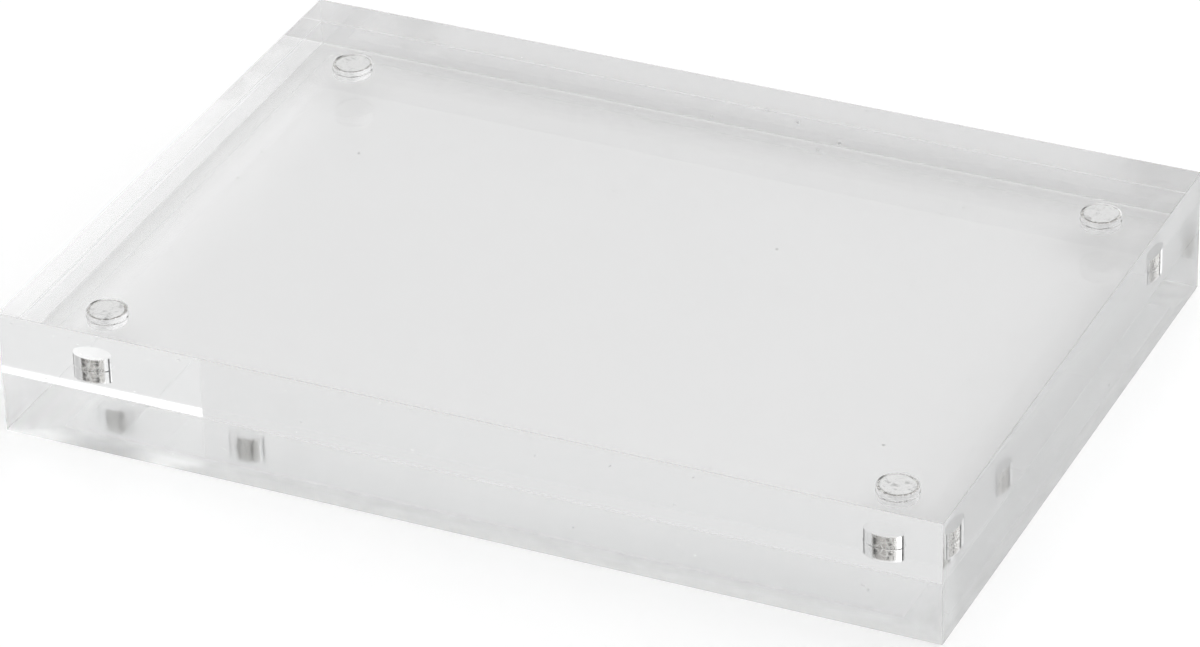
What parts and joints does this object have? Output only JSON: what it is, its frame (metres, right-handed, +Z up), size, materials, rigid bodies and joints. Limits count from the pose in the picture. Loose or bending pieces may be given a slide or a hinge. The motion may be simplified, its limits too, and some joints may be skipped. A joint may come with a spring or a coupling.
{
  "type": "acrylic block frame",
  "caption": "Clear acrylic block frame: two thick polished slabs held face to face by disc magnets at the corners, so that the front slab lifts off and a print lies between them.",
  "frame": {"origin": "centre of the back block's outer face, which it rests on when it lies flat", "axes": "+X along the long edge, +Y along the short edge away from the near long edge, +Z up through the front block"},
  "size_m": [0.148, 0.105, 0.02],
  "materials": {
    "acrylic": "polished",
    "nickel": "polished",
    "adhesive": "satin"
  },
  "bodies": {
    "back_half": {"back_block": "acrylic", "back_magnet_near_left": "nickel", "back_magnet_near_right": "nickel", "back_magnet_far_left": "nickel", "back_magnet_far_right": "nickel", "back_glue_near_left": "adhesive", "back_glue_near_right": "adhesive", "back_glue_far_left": "adhesive", "back_glue_far_right": "adhesive"},
    "front_half": {"front_block": "acrylic", "front_magnet_near_left": "nickel", "front_magnet_near_right": "nickel", "front_magnet_far_left": "nickel", "front_magnet_far_right": "nickel", "front_glue_near_left": "adhesive", "front_glue_near_right": "adhesive", "front_glue_far_left": "adhesive", "front_glue_far_right": "adhesive"}
  },
  "joints": [
    {"name": "front_block_lift", "type": "slide", "parent": "back_half", "child": "front_half", "axis": [0, 0, 1], "range_m": [0, 0.04]}
  ]
}
